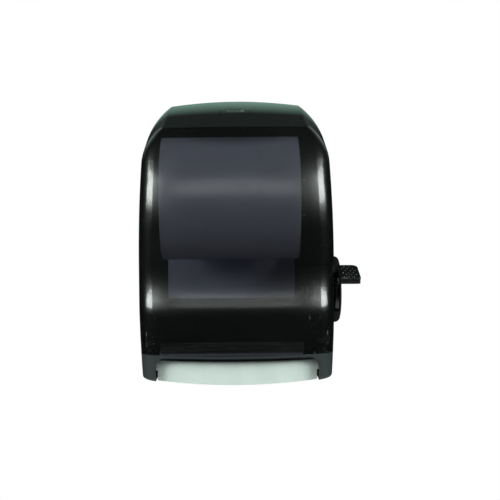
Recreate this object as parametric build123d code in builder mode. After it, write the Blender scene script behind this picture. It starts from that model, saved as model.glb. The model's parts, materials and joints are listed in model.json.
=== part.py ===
from build123d import *
from math import acos, asin, atan2, cos, degrees, hypot, pi, radians, sin, tan
import os

# A wall-mounted paper towel dispenser, worked by a lever on its right-hand side.
# Millimetres. X runs to the right, the front faces -Y, the wall is the plane Y = 0 and +Z is
# up. The origin is the middle of the four wall-screw holes, on the wall.
# Depths are measured from the wall towards the front, and heights from the lowest edge.

# ---- Driving dimensions: the casing -------------------------------------------------------
height = 420.0                 # lowest edge to the top of the roof at the wall
depth = 235.0                  # wall to the foremost point of the nose
rear_width = 301.0
front_width = 275.0
wall = 2.6
screw_centre_height = 230.0    # lowest edge up to the middle of the wall-screw holes
bow_radius = 430.0             # the front is bowed about an upright axis behind the wall
crease_inset = 47.0            # the crease parts the sloping roof from the front
crease_drop = 54.0             # and lies this far below the top

nose_height = 98.0             # front profile, from its foremost point both ways
nose_radius = 62.0
nose_angle = 18.0
scoop_radius = 121.0
waist_length = 56.0
waist_lean = 5.0
brow_radius = 220.0
skirt_radius = 900.0
skirt_angle = 7.5

side_mid_height = 160.0        # sides bulge a little, most of all in front
rear_bulge = 0.6
front_bulge = 5.8
rear_shoulder_drop = 100.0     # below the top, where the sides start to curve in to the roof
front_shoulder_drop = 110.0
rear_shoulder_radius = 116.0
front_shoulder_radius = 50.6
corner_radius = 28.0
rim_radius = 4.6
foot_radius = 5.0
belly_radius = 1280.0          # the lowest edge sags towards the middle
rear_gap = 1.5                 # cover's rear edge to the wall
tray_gap = 1.0                 # inside of the cover to the back plate's rim
tray_wall = 2.4
tray_plate = 3.0
tray_rim_depth = 14.0

# ---- Driving dimensions: lower bezel and its opening --------------------------------------
seam_height = 43.0
opening_width = 230.0
opening_height = 39.0
opening_radius = 14.0
lip_thickness = 2.6
lip_depth = 7.0
hinge_depth = 12.0
hinge_height = 14.0
hinge_pin_radius = 2.5
hinge_ear_radius = 6.5
hinge_lug_width = 6.0
hinge_ear_x = 133.0            # inner face of the bezel's ear
joint_lug_size = 12.0
lug_depths = (60.0, 150.0)
lug_height = 5.0
hinge_lug_start = 126.0        # back plate's lug, between the bezel's ear and the middle
hinge_pin_start = 124.0
hinge_pin_end = 146.0

# ---- Driving dimensions: screws and the back plate's ribs -----------------------------------
wall_screws_across = 150.0
wall_screws_up = 200.0
wall_screw_radius = 3.25
screw_core_radius = 1.2
screw_radius = 1.6             # clearance hole
screw_head_radius = 3.0
screw_head_height = 2.2
rib_spacing = 30.0
rib_thickness = 2.0
rib_reach = 5.0

# ---- Driving dimensions: towel roll and its arms ------------------------------------------
roll_width = 203.2
roll_radius = 92.0
core_radius = 21.5
core_wall = 2.0
roll_centre_x = -8.3
roll_depth = 108.0
roll_height = 263.0
arm_thickness = 4.0
arm_radius = 26.0
arm_root_height = 86.0
hub_flange = 3.0
hub_gap = 0.7
hub_length = 13.6
arm_pin_radius = 2.0
arm_barrel_radius = 5.0
arm_pin_depth = 13.0
arm_strip_depth = 23.0
arm_strip_height = 58.0
arm_barrel_height = 33.2
knuckle_gap = 0.8
hub_root_radius = 18.7
hub_tip_radius = 15.0

# ---- Driving dimensions: feed mechanism ---------------------------------------------------
chassis_plate = 3.0
chassis_gap = 5.0              # roll's end to the left plate
chassis_floor_height = 38.0
chassis_floor_depth = 170.0
plate_noses = ((186.0, 66.0), (184.0, 44.0))
plate_nose_radius = 8.0
frame_screw_height = 50.0
bush_radius = 7.0
lever_bush_radius = 8.0
lever_axis_depth = 98.0
lever_axis_height = 123.0
gear_module = 2.0
sector_teeth = 48              # on a full circle
pinion_teeth = 12
profile_shift = 0.35
mesh_drop_angle = 36.87        # the line from lever axis to feed roller, below level
gear_width = 5.5
backlash = 0.3
pressure_angle = 20.0
flank_steps = 4
sector_count = 10
flange_thickness = 1.5
ratchet_teeth = 10
ratchet_root = 9.0
ratchet_tip = 13.0
ratchet_width = 4.0
pawl_pivot_radius = 22.0
pawl_tip_radius = 9.8
pawl_angle = 30.0              # from the front, about the feed roller
pawl_lead = 42.0               # pawl tip ahead of its pivot
spring_inner_radius = 6.2
spring_pitch = 7.0
spring_turns = 2.0
spring_thickness = 0.8
spring_width = 6.0
spring_post_radius = 2.0
leaf_thickness = 0.8
leaf_width = 6.0
leaf_slope = 0.55
leaf_foot = (42.0, 24.0)       # flat end, behind the pinch roller's axis
leaf_tip = 4.0                 # ahead of it
leaf_end_gap = 1.0             # leaf's side to the right plate
leaf_left_gap = 8.0
feed_radius = 17.0
feed_drum_radius = 14.0
feed_shaft_radius = 4.0
pinch_radius = 10.0
pinch_shaft_radius = 3.0
band_width = 30.0
band_spacing = 70.0
web_thickness = 0.5
web_leaving_angle = 25.0       # bend of the towel round the pinch roller
web_bends = ((175.0, 57.0), (203.0, 40.5), (205.0, 39.6))
nip_gap = 1.2                  # sleeve to pinch roller, with the towel between
guard_radius = 27.0
guard_thickness = 2.5
guard_foot = 46.0              # height of the front's lower edge
tear_depth = 200.0             # upright front of the guard, which carries the blade
blade_thickness = 1.0
blade_height = 16.0
blade_bottom = 42.0
tooth_pitch = 4.0
tooth_depth = 2.4
guide_bar_radius = 8.0
guide_bar_height = 58.2

# ---- Driving dimensions: chute ------------------------------------------------------------
apron_depth = 217.0
apron_height = 31.0
apron_half_width = 113.0
apron_ear_half_width = 122.0
apron_ear_height = 19.0
chute_thickness = 2.5
slide_rear_depth = 166.0
slide_rear_height = 48.7
chute_boss_radius = 3.5
chute_screw_x = 60.0
chute_screw_depth = 165.0
slide_front_depth = 207.0
slide_front_height = 37.0

# ---- Driving dimensions: lever ------------------------------------------------------------
lever_travel = 45.0
housing_radius = 50.0
housing_x = 155.5
housing_wall = 2.2
housing_edge_radius = 7.0
notch_gap = 0.8
relief_bearing = 70.0          # the notch is wider behind this line through the hinge
relief_gap = 2.0               # beyond the finger pad's far end
lever_arm_x = 147.0
lever_arm_thickness = 5.0
lever_hub_radius = 13.0
lever_shaft_radius = 5.0
pad_outer_x = 177.0
pad_depth = 175.0              # middle of the finger pad
pad_height = 150.75
pad_length = 52.0
pad_thickness = 9.2
pad_slope = 16.7
shaft_fit = 0.05               # radial play of a shaft in its bore
shaft_end_x = 148.5
screw_seat_x = 150.2           # face in the hub that the lever screw's head sits on
boss_x = 138.0                 # inner end of the lever bearing in the side panel
boss_radius = 10.0
post_radius = 4.0
fairing_posts = ((36.0, 150.0), (24.0, 112.0), (24.0, 186.0))
slot_low = -38.0               # the housing's slot for the lever, about the lever axis
slot_high = 34.0
lever_elbow = (163.0, 148.0)
pad_layers = ((-4.6, -0.4, 0.3), (-0.4, 1.2, 1.0), (1.2, 4.6, 0.0))

# ---- Driving dimensions: latch ------------------------------------------------------------
tongue_rear_depth = 57.0
tongue_front_depth = 120.0
tongue_rear_half = 21.0
tongue_front_half = 23.0
tongue_gap = 0.6               # at each side; twice this at the rear, which swings back
tongue_root_gap = 0.25         # at the front edge, where the tongue bends
catch_drop = 24.0              # top of the fixed arm that carries the lip, below the roof's
catch_thickness = 1.8
lip_rear_depth = 58.5          # the hook's barb stands behind this face
lip_front_depth = 61.0
lip_bottom = 392.2
catch_half_width = 10.0
hook_half_width = 8.0
hook_gap = 0.6
hook_thickness = 3.0
barb_rise = 2.0                # how far the hook reaches up behind the lip
grip_ribs = 4
grip_spacing = 7.2

# ---- Derived places -----------------------------------------------------------------------
bow_axis_y = bow_radius - depth
belly_sag = (rear_width / 2)**2 / (2 * belly_radius)
crease_depth = depth - crease_inset
crease_height = height - crease_drop
rear_shoulder_height = height - rear_shoulder_drop
front_shoulder_height = height - front_shoulder_drop
catch_top = height - catch_drop
roof_slope = atan2(height - crease_height, crease_depth)
roll_left = roll_centre_x - roll_width / 2
roll_right = roll_centre_x + roll_width / 2
left_flange_x = roll_left - hub_gap
right_flange_x = roll_right + hub_gap
left_arm_x = left_flange_x - hub_flange
right_arm_x = right_flange_x + hub_flange
left_plate_x = roll_left - chassis_gap
right_plate_x = right_arm_x + arm_thickness
mesh_distance = gear_module * (sector_teeth + pinion_teeth) / 2
lever_axis = (lever_axis_depth, lever_axis_height)
feed_axis = (lever_axis_depth + mesh_distance * cos(radians(mesh_drop_angle)),
             lever_axis_height - mesh_distance * sin(radians(mesh_drop_angle)))
pinch_axis = (feed_axis[0], feed_axis[1] - feed_radius - nip_gap - pinch_radius)
roll_axis = (roll_depth, roll_height)
hinge_axis = (hinge_depth, hinge_height)
gear_x = right_plate_x + chassis_plate + 5.0
gear_end_x = gear_x + gear_width
flange_x = gear_end_x + 0.5
ratchet_x = flange_x + flange_thickness + 0.5
ratchet_end_x = ratchet_x + ratchet_width
spring_x = flange_x + 3.0
spring_end_x = spring_x + spring_width
spring_outer_radius = spring_inner_radius + (2 * spring_turns - 1) * spring_pitch / 2
spring_post = (lever_axis_depth - spring_outer_radius - spring_thickness / 2
               - spring_post_radius, lever_axis_height)
arm_pin_x = left_arm_x - arm_thickness - arm_barrel_radius
arm_root_span = (roll_height - arm_barrel_height / 2, roll_height + arm_barrel_height / 2)
arm_knuckles = ((roll_height - arm_strip_height / 2, arm_root_span[0] - knuckle_gap),
                (arm_root_span[1] + knuckle_gap, roll_height + arm_strip_height / 2))
housing_reach = hypot(lever_axis_depth - hinge_depth, lever_axis_height - hinge_height)
pad_reach = hypot(pad_depth + pad_length / 2 - hinge_depth, pad_height - hinge_height)
floor_top = chassis_floor_height + chassis_plate
plate_front_depth = plate_noses[0][0] + plate_nose_radius
right_plate_pads = ((lever_axis, 16),) + tuple((post, 2 * post_radius) for post in fairing_posts)
lug_screw_x = front_width / 2 - joint_lug_size / 2
chassis_screw_places = ((-90, frame_screw_height), (-7, frame_screw_height),
                        (80, frame_screw_height))
arm_screws = ((right_plate_x + 9, roll_height - 28), (right_plate_x + 9, roll_height + 28))
frame_screws = chassis_screw_places + arm_screws
chute_screws = ((-chute_screw_x, -chute_screw_depth), (chute_screw_x, -chute_screw_depth))

os.makedirs("parts", exist_ok=True)


# ---- Planes and helpers -------------------------------------------------------------------
def up(level):
    """Z of a height above the lowest edge"""
    return level - screw_centre_height


def side_plane(x):
    """Side view at X = x: local x is the depth, local y the height, and its normal is -X"""
    return Plane(origin=(x, 0, up(0)), x_dir=(0, -1, 0), z_dir=(-1, 0, 0))


def front_plane(at_depth):
    """Front view at a depth: local x is X, local y the height, and its normal is -Y"""
    return Plane(origin=(0, -at_depth, up(0)), x_dir=(1, 0, 0), z_dir=(0, -1, 0))


def top_plane(level):
    """Plan view at a height: local x is X, local y is Y, and its normal is +Z"""
    return Plane(origin=(0, 0, up(level)), x_dir=(1, 0, 0), z_dir=(0, 0, 1))


bow_plane = Plane(origin=(0, bow_axis_y, up(0)), x_dir=(0, 1, 0), z_dir=(1, 0, 0))
bow_axis = Axis((0, bow_axis_y, 0), (0, 0, 1))


def roof_level(at_depth, drop=0.0):
    """Height of the roof on the centre line, less a drop square to it"""
    return height - at_depth * tan(roof_slope) - drop / cos(roof_slope)


def along(rear, front, at_depth):
    """A size that changes evenly from the wall to the nose"""
    return rear + (front - rear) * at_depth / depth


def bar(x_from, x_to, centre, radius, bore=0.0, mode=Mode.ADD):
    """A round bar or tube along X"""
    with BuildSketch(side_plane(x_to)) as section:
        with Locations(centre):
            Circle(radius)
            if bore:
                Circle(bore, mode=Mode.SUBTRACT)
    extrude(section.sketch, amount=x_to - x_from, mode=mode)


def block(x_from, x_to, depth_from, depth_to, low, high, mode=Mode.ADD):
    """A square block between two planes each way"""
    with BuildSketch(front_plane(depth_from)) as section:
        with Locations(((x_from + x_to) / 2, (low + high) / 2)):
            Rectangle(x_to - x_from, high - low)
    extrude(section.sketch, amount=depth_to - depth_from, mode=mode)


def finish(piece, name):
    """Names a finished piece and writes it out"""
    piece.part.label = name
    export_step(piece.part, f"parts/{name}.step")


# ---- The casing's outer form, or the same form drawn in by an inset ------------------------
def casing_form(inset):
    with BuildPart() as form:
        with BuildSketch(bow_plane):
            with BuildLine():
                tip = (bow_radius - inset, nose_height)
                skirt = JernArc(start=tip, tangent=(0, -1), radius=skirt_radius - inset,
                                arc_size=-skirt_angle)
                nose = JernArc(start=tip, tangent=(0, 1), radius=nose_radius - inset,
                               arc_size=nose_angle)
                scoop = JernArc(start=nose @ 1, tangent=nose % 1, radius=scoop_radius + inset,
                                arc_size=-(nose_angle + waist_lean))
                waist = Line(scoop @ 1, scoop @ 1 + (scoop % 1) * waist_length)
                brow = JernArc(start=waist @ 1, tangent=waist % 1, radius=brow_radius - inset,
                               arc_size=waist_lean + 45)
                Polyline(brow @ 1, ((brow @ 1).X, height), (0, height), (0, (skirt @ 1).Y),
                         skirt @ 1)
            make_face()
            with BuildLine():
                ridge = roof_level(0, inset)
                eave = roof_level(depth + 20, inset)
                Polyline((0, -depth), (bow_radius + 20, -depth), (bow_radius + 20, eave),
                         (bow_axis_y, ridge), (0, ridge), close=True)
            make_face(mode=Mode.INTERSECT)
        revolve(axis=bow_axis)
        for at_depth in (-10, depth + 10):
            half = along(rear_width, front_width, at_depth) / 2 - inset
            edge = half - along(rear_bulge, front_bulge, at_depth)
            foot = edge**2 / (2 * belly_radius) + inset
            shoulder = along(rear_shoulder_height, front_shoulder_height, at_depth)
            radius = along(rear_shoulder_radius, front_shoulder_radius, at_depth) - inset
            with BuildSketch(front_plane(at_depth)):
                with BuildLine():
                    ThreePointArc((-edge, foot), (0, inset), (edge, foot))
                    tops = []
                    for hand in (1, -1):
                        side = ThreePointArc((hand * edge, foot), (hand * half, side_mid_height),
                                             (hand * edge, shoulder))
                        lean = degrees(atan2(abs((side % 1).X), (side % 1).Y))
                        turn = JernArc(start=side @ 1, tangent=side % 1, radius=radius,
                                       arc_size=hand * (90 - lean))
                        tops.append(turn @ 1)
                    Line(*tops)
                make_face()
        loft(ruled=True, mode=Mode.INTERSECT)
        corners = form.edges().filter_by(
            lambda edge: abs(edge.center().X) > front_width / 3 and -edge.center().Y > depth / 2
            and edge.length < depth / 2 and edge.center().Z > up(2 * belly_sag + inset))
        fillet(corners, radius=corner_radius - inset)
        if inset == 0:
            rims = form.edges().filter_by(
                lambda edge: edge.bounding_box().max.Z > up(crease_height - 5)
                and edge.center().Y < 0)
            fillet(rims, radius=rim_radius)
            feet = form.edges().filter_by(
                lambda edge: edge.bounding_box().max.Z < up(2 * belly_sag)
                and edge.center().Y < 0)
            fillet(feet, radius=foot_radius)
    return form


outer_form = casing_form(0)
inner_form = casing_form(wall)
middle_form = casing_form(wall / 2)
tray_form = casing_form(wall + tray_gap)
tray_inner_form = casing_form(wall + tray_gap + tray_wall)
with BuildPart() as casing_shell:
    add(outer_form.part)
    add(inner_form.part, mode=Mode.SUBTRACT)


# ---- Outline of the lever housing in side view ---------------------------------------------
def relief_outline(x, margin):
    """The rear corner of the side, which would meet the finger pad as the cover swings down"""
    slant = radians(relief_bearing)
    reach = 2 * pad_reach
    start = (hinge_depth + margin * sin(slant), hinge_height - margin * cos(slant))
    far = (start[0] + reach * cos(slant), start[1] + reach * sin(slant))
    with BuildSketch(side_plane(x)) as relief:
        with Locations(hinge_axis):
            Circle(pad_reach + relief_gap + margin)
            Circle(housing_reach, mode=Mode.SUBTRACT)
        with BuildLine():
            Polyline(start, far, (-reach, far[1]), (-reach, start[1]), close=True)
        make_face(mode=Mode.INTERSECT)
    return relief.sketch_local


def housing_outline(x, margin):
    """A disc about the lever axis with a band that sweeps back to the wall about the hinge"""
    reach = 2 * housing_reach
    bearing = atan2(lever_axis_height - hinge_height, lever_axis_depth - hinge_depth)
    far = (hinge_depth + reach * cos(bearing), hinge_height + reach * sin(bearing))
    with BuildSketch(side_plane(x)) as outline:
        with Locations(hinge_axis):
            Circle(housing_reach + housing_radius + margin)
            Circle(housing_reach - housing_radius - margin, mode=Mode.SUBTRACT)
        with BuildLine():
            Polyline(hinge_axis, far, (hinge_depth, hinge_height + reach),
                     (-reach, hinge_height + reach), (-reach, hinge_height), close=True)
        make_face(mode=Mode.INTERSECT)
        with Locations(lever_axis):
            Circle(housing_radius + margin)
        add(relief_outline(x, margin))
    return outline.sketch


# ---- Outline of the latch tongue, seen from above -----------------------------------------
def tongue_outline(margin):
    """A keystone with its two rear corners rounded"""
    with BuildSketch(top_plane(crease_height)) as outline:
        with BuildLine():
            rear = -tongue_rear_depth + 2 * margin
            front = -tongue_front_depth
            Polyline((-tongue_rear_half - margin, rear), (tongue_rear_half + margin, rear),
                     (tongue_front_half + margin, front), (-tongue_front_half - margin, front),
                     close=True)
        make_face()
        fillet(outline.vertices().group_by(Axis.Y)[-1], radius=5 + margin)
    return outline.sketch


# ---- Lugs inside the side walls, where screws join the cover to the bezel -------------------
def joint_lugs(low, high, bore):
    """Four square lugs grown from the side walls, each with an upright hole"""
    with BuildPart() as lugs:
        for at_depth in lug_depths:
            for hand in (-1, 1):
                near, far = sorted((hand * (lug_screw_x - joint_lug_size / 2),
                                    hand * rear_width / 2))
                block(near, far, at_depth - joint_lug_size / 2, at_depth + joint_lug_size / 2,
                      low, high)
        add(middle_form.part, mode=Mode.INTERSECT)
        with BuildSketch(top_plane(low)):
            for at_depth in lug_depths:
                with Locations((0, -at_depth)):
                    with GridLocations(2 * lug_screw_x, 0, 2, 1):
                        Circle(bore)
        extrude(amount=high - low, mode=Mode.SUBTRACT)
    return lugs.part


# ---- Cover: the smoke-tinted shell above the seam -----------------------------------------
with BuildPart() as cover:
    add(casing_shell.part)
    block(-rear_width, rear_width, rear_gap, 2 * depth, seam_height, 2 * height,
          mode=Mode.INTERSECT)
    extrude(housing_outline(rear_width / 2 + 1, notch_gap), amount=front_width / 8,
            mode=Mode.SUBTRACT)
    extrude(tongue_outline(tongue_gap), amount=height, mode=Mode.SUBTRACT)
    add(joint_lugs(seam_height, seam_height + lug_height, screw_core_radius))
finish(cover, "cover")

# ---- Latch tongue: a flexing tab in the roof, with grip ribs and a hook ---------------------
with BuildPart() as latch_tongue:
    extrude(tongue_outline(0), amount=height)
    add(casing_shell.part, mode=Mode.INTERSECT)
    block(-rear_width, rear_width, 0, tongue_front_depth - tongue_root_gap, 0, height,
          mode=Mode.INTERSECT)
    rib_depth = tongue_rear_depth + 14
    with BuildSketch(Plane(origin=(0, -rib_depth, up(roof_level(rib_depth, wall / 2))),
                           x_dir=(1, 0, 0), z_dir=(0, -sin(roof_slope), cos(roof_slope)))):
        with GridLocations(grip_spacing, 0, grip_ribs, 1):
            SlotOverall(12, 5.2, rotation=90)
    extrude(amount=wall / 2 + 1.6)
    with BuildSketch(side_plane(hook_half_width)):
        with BuildLine():
            barb_front = lip_rear_depth - 0.5
            foot_top = lip_bottom - hook_gap
            leg_rear = lip_front_depth + 4
            leg_front = leg_rear + hook_thickness
            Polyline((barb_front - 3, foot_top - hook_thickness),
                     (leg_front, foot_top - hook_thickness),
                     (leg_front, roof_level(leg_front, wall / 2)),
                     (leg_rear, roof_level(leg_rear, wall / 2)), (leg_rear, foot_top),
                     (barb_front, foot_top), (barb_front, foot_top + barb_rise),
                     (barb_front - 3, foot_top), close=True)
        make_face()
    extrude(amount=2 * hook_half_width)
finish(latch_tongue, "latch_tongue")


# ---- Lower bezel: the matt band below the seam, with the paper opening -----------------------
def opening_prism(margin):
    """The opening's arch, from the middle of the casing out through the front"""
    top = opening_height + margin
    with BuildSketch(front_plane(depth / 2)) as arch:
        with Locations((0, top / 2 - opening_radius)):
            Rectangle(opening_width + 2 * margin, top + 2 * opening_radius)
        fillet(arch.vertices().group_by(Axis.Y)[-1], radius=opening_radius + margin)
    return extrude(arch.sketch, amount=depth, mode=Mode.PRIVATE)


with BuildPart() as opening_lip:
    add(opening_prism(lip_thickness))
    add(outer_form.part, mode=Mode.INTERSECT)
    with BuildSketch(top_plane(-height)):
        with Locations((0, bow_axis_y)):
            Circle(bow_radius - 3 - lip_depth)
    extrude(amount=2 * height, mode=Mode.SUBTRACT)

with BuildPart() as hinge_ears:
    for hand in (-1, 1):
        near, far = sorted((hand * hinge_ear_x, hand * rear_width / 2))
        bar(near, far, hinge_axis, hinge_ear_radius)
    add(middle_form.part, mode=Mode.INTERSECT)

with BuildPart() as lower_bezel:
    add(casing_shell.part)
    block(-rear_width, rear_width, rear_gap, 2 * depth, -height, seam_height,
          mode=Mode.INTERSECT)
    block(-opening_width / 2, opening_width / 2, 0, depth / 2, -height, seam_height,
          mode=Mode.SUBTRACT)
    add(opening_lip.part)
    add(opening_prism(0), mode=Mode.SUBTRACT)
    floor_edge = rear_width / 2 - wall - tray_gap
    block(-floor_edge, floor_edge, 0, hinge_depth + 9, -height, hinge_height,
          mode=Mode.SUBTRACT)
    with BuildSketch(side_plane(rear_width)):
        with Locations((hinge_axis[0] / 2, hinge_axis[1] / 2)):
            Rectangle(*hinge_axis)
        with Locations(hinge_axis):
            Circle(hinge_depth - rear_gap, mode=Mode.SUBTRACT)
    extrude(amount=2 * rear_width, mode=Mode.SUBTRACT)
    add(hinge_ears.part)
    bar(-rear_width / 2, -hinge_ear_x, hinge_axis, hinge_pin_radius + shaft_fit,
        mode=Mode.SUBTRACT)
    bar(hinge_ear_x, rear_width / 2, hinge_axis, hinge_pin_radius + shaft_fit,
        mode=Mode.SUBTRACT)
    add(joint_lugs(seam_height - lug_height, seam_height, screw_radius))
finish(lower_bezel, "lower_bezel")

with BuildPart() as bezel_screws:
    head_level = seam_height - lug_height
    with BuildSketch(top_plane(head_level - screw_head_height)):
        for at_depth in lug_depths:
            with Locations((0, -at_depth)):
                with GridLocations(2 * lug_screw_x, 0, 2, 1):
                    RegularPolygon(screw_head_radius, 6)
    extrude(amount=screw_head_height)
    with BuildSketch(top_plane(head_level)):
        for at_depth in lug_depths:
            with Locations((0, -at_depth)):
                with GridLocations(2 * lug_screw_x, 0, 2, 1):
                    Circle(screw_core_radius)
    extrude(amount=2 * lug_height)
finish(bezel_screws, "bezel_screws")

# ---- Hinge pins, fixed in the back plate's lugs ---------------------------------------------
with BuildPart() as hinge_pins:
    bar(-hinge_pin_end, -hinge_pin_start, hinge_axis, hinge_pin_radius)
    bar(hinge_pin_start, hinge_pin_end, hinge_axis, hinge_pin_radius)
finish(hinge_pins, "hinge_pins")

# ---- Back plate: a shallow tray on the wall -------------------------------------------------
with BuildPart() as tray_hollow:
    add(tray_inner_form.part)
    block(-rear_width, rear_width, tray_plate, 2 * tray_rim_depth, -height, 2 * height,
          mode=Mode.INTERSECT)

with BuildPart() as back_plate:
    add(tray_form.part)
    block(-rear_width, rear_width, 0, tray_rim_depth, -height, 2 * height,
          mode=Mode.INTERSECT)
    add(tray_hollow.part, mode=Mode.SUBTRACT)
    for hand in (-1, 1):
        near, far = sorted((hand * (hinge_lug_start - 2), hand * rear_width))
        block(near, far, tray_plate, 2 * tray_rim_depth, -height,
              hinge_height + 2 * hinge_pin_radius + 13, mode=Mode.SUBTRACT)
        near, far = sorted((hand * hinge_lug_start, hand * (hinge_lug_start + hinge_lug_width)))
        bar(near, far, hinge_axis, hinge_ear_radius)
        block(near, far, 0, hinge_depth, hinge_height - hinge_ear_radius,
              hinge_height + hinge_ear_radius)
        bar(near, far, hinge_axis, hinge_pin_radius, mode=Mode.SUBTRACT)
    with BuildSketch(front_plane(tray_plate)):
        with Locations((0, 270)):
            with GridLocations(rib_spacing, 0, 5, 1):
                Rectangle(rib_thickness, 220)
            with GridLocations(0, rib_spacing, 1, 8):
                Rectangle(4 * rib_spacing + rib_thickness, rib_thickness)
    extrude(amount=rib_reach)
    for low, high in arm_knuckles:
        block(arm_pin_x - arm_barrel_radius, left_arm_x - arm_thickness, tray_plate,
              arm_pin_depth + arm_barrel_radius, low, high)
    with BuildSketch(top_plane(arm_knuckles[0][0])):
        with Locations((arm_pin_x, -arm_pin_depth)):
            Circle(arm_pin_radius)
    extrude(amount=arm_knuckles[1][1] - arm_knuckles[0][0], mode=Mode.SUBTRACT)
    block(-catch_half_width, catch_half_width, tray_plate, lip_front_depth,
          catch_top - catch_thickness, catch_top)
    block(-catch_half_width, catch_half_width, lip_rear_depth, lip_front_depth, lip_bottom,
          catch_top)
    for near in (-catch_half_width, catch_half_width - catch_thickness):
        with BuildSketch(side_plane(near + catch_thickness)):
            with BuildLine():
                Polyline((tray_plate, catch_top - 46), (tray_plate, catch_top - 1),
                         (48, catch_top - 1), close=True)
            make_face()
        extrude(amount=catch_thickness)
    with BuildSketch(front_plane(0)):
        with Locations((0, screw_centre_height)):
            with GridLocations(wall_screws_across, wall_screws_up, 2, 2):
                Circle(wall_screw_radius)
        with Locations(*frame_screws):
            Circle(screw_core_radius)
    extrude(amount=tray_plate, mode=Mode.SUBTRACT)
finish(back_plate, "back_plate")

# ---- Roll arms: the left one swings aside on its pin to take a new roll ----------------------
def hub(x_root, x_tip):
    """A blunt cone that stands in the roll's core"""
    with BuildSketch(side_plane(x_root)) as wide_end:
        with Locations(roll_axis):
            Circle(hub_root_radius)
    with BuildSketch(side_plane(x_tip)) as narrow_end:
        with Locations(roll_axis):
            Circle(hub_tip_radius)
    loft((wide_end.sketch, narrow_end.sketch))


with BuildPart() as left_roll_arm:
    with BuildSketch(side_plane(left_arm_x)):
        with Locations(roll_axis):
            Circle(arm_radius)
        with Locations((arm_strip_depth, roll_height)):
            Rectangle(6, 58)
        make_hull()
    extrude(amount=arm_thickness)
    bar(left_arm_x, left_flange_x, roll_axis, arm_radius)
    block(arm_pin_x, left_arm_x, arm_pin_depth - 4, arm_strip_depth + 1,
          *arm_root_span)
    with BuildSketch(top_plane(arm_root_span[0])):
        with Locations((arm_pin_x, -arm_pin_depth)):
            Circle(arm_barrel_radius)
    extrude(amount=arm_root_span[1] - arm_root_span[0])
    with BuildSketch(top_plane(arm_root_span[0])):
        with Locations((arm_pin_x, -arm_pin_depth)):
            Circle(arm_pin_radius + shaft_fit)
    extrude(amount=arm_root_span[1] - arm_root_span[0], mode=Mode.SUBTRACT)
    hub(left_flange_x, left_flange_x + hub_length)
finish(left_roll_arm, "left_roll_arm")

with BuildPart() as arm_pin:
    with BuildSketch(top_plane(arm_knuckles[0][0] - 2)):
        with Locations((arm_pin_x, -arm_pin_depth)):
            Circle(arm_pin_radius)
    extrude(amount=arm_knuckles[1][1] - arm_knuckles[0][0] + 4)
finish(arm_pin, "arm_pin")

with BuildPart() as right_roll_arm:
    with BuildSketch(side_plane(right_arm_x + arm_thickness)):
        with Locations(roll_axis):
            Circle(arm_radius)
        with Locations((tray_plate + 5, roll_height)):
            Rectangle(10, arm_root_height)
        make_hull()
    extrude(amount=arm_thickness)
    bar(right_flange_x, right_arm_x, roll_axis, arm_radius)
    block(right_plate_x, right_plate_x + 17, tray_plate, tray_plate + chassis_plate,
          roll_height - arm_root_height / 2, roll_height + arm_root_height / 2)
    hub(right_flange_x, right_flange_x - hub_length)
    with BuildSketch(front_plane(tray_plate)):
        with Locations(*arm_screws):
            Circle(screw_radius)
    extrude(amount=chassis_plate, mode=Mode.SUBTRACT)
finish(right_roll_arm, "right_roll_arm")

# ---- Towel roll and its cardboard core ------------------------------------------------------
with BuildPart() as paper_roll:
    bar(roll_left, roll_right, roll_axis, roll_radius, core_radius)
finish(paper_roll, "paper_roll")

with BuildPart() as roll_core:
    bar(roll_left, roll_right, roll_axis, core_radius, core_radius - core_wall)
finish(roll_core, "roll_core")

# ---- Feed chassis: two side plates on a floor, screwed to the back plate ---------------------
with BuildPart() as feed_chassis:
    block(left_plate_x - chassis_plate, right_plate_x + chassis_plate, tray_plate,
          chassis_floor_depth, chassis_floor_height, floor_top)
    block(left_plate_x - chassis_plate, right_plate_x + chassis_plate, tray_plate,
          tray_plate + chassis_plate, chassis_floor_height, frame_screw_height + 8)
    for x, pads in ((left_plate_x, ()), (right_plate_x + chassis_plate, right_plate_pads)):
        with BuildSketch(side_plane(x)):
            with Locations(feed_axis):
                Circle(guard_radius + guard_thickness)
            with Locations(*plate_noses):
                Circle(plate_nose_radius)
            with Locations((tray_plate + 9, chassis_floor_height + 34)):
                Rectangle(18, 72)
            for centre, radius in pads:
                with Locations(centre):
                    Circle(radius)
            make_hull()
        extrude(amount=chassis_plate)
    for x in (left_plate_x, right_plate_x + chassis_plate):
        with BuildSketch(side_plane(x)):
            with Locations(feed_axis):
                Circle(bush_radius)
            with Locations((pinch_axis[0], pinch_axis[1] - 0.5)):
                SlotOverall(10, 2 * (pinch_shaft_radius + 0.1), rotation=90)
        extrude(amount=chassis_plate, mode=Mode.SUBTRACT)
    bar(right_plate_x, right_plate_x + chassis_plate, lever_axis, lever_bush_radius,
        mode=Mode.SUBTRACT)
    bar(right_plate_x + chassis_plate, spring_end_x, spring_post, spring_post_radius)
    with BuildSketch(front_plane(tray_plate)):
        with Locations(*chassis_screw_places):
            Circle(screw_radius)
    extrude(amount=chassis_plate, mode=Mode.SUBTRACT)
    with BuildSketch(top_plane(chassis_floor_height)):
        with Locations(*chute_screws):
            Circle(screw_radius)
    extrude(amount=chassis_plate, mode=Mode.SUBTRACT)
finish(feed_chassis, "feed_chassis")

with BuildPart() as chassis_screws:
    with BuildSketch(front_plane(0)):
        with Locations(*frame_screws):
            Circle(screw_core_radius)
    extrude(amount=tray_plate + chassis_plate)
    with BuildSketch(front_plane(tray_plate + chassis_plate)):
        with Locations(*frame_screws):
            RegularPolygon(screw_head_radius, 6)
    extrude(amount=screw_head_height)
    with BuildSketch(top_plane(chassis_floor_height - screw_head_height)):
        with Locations(*chute_screws):
            RegularPolygon(screw_head_radius, 6)
    extrude(amount=screw_head_height)
    with BuildSketch(top_plane(chassis_floor_height)):
        with Locations(*chute_screws):
            Circle(screw_core_radius)
    extrude(amount=chassis_plate + 2)
finish(chassis_screws, "chassis_screws")

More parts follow.
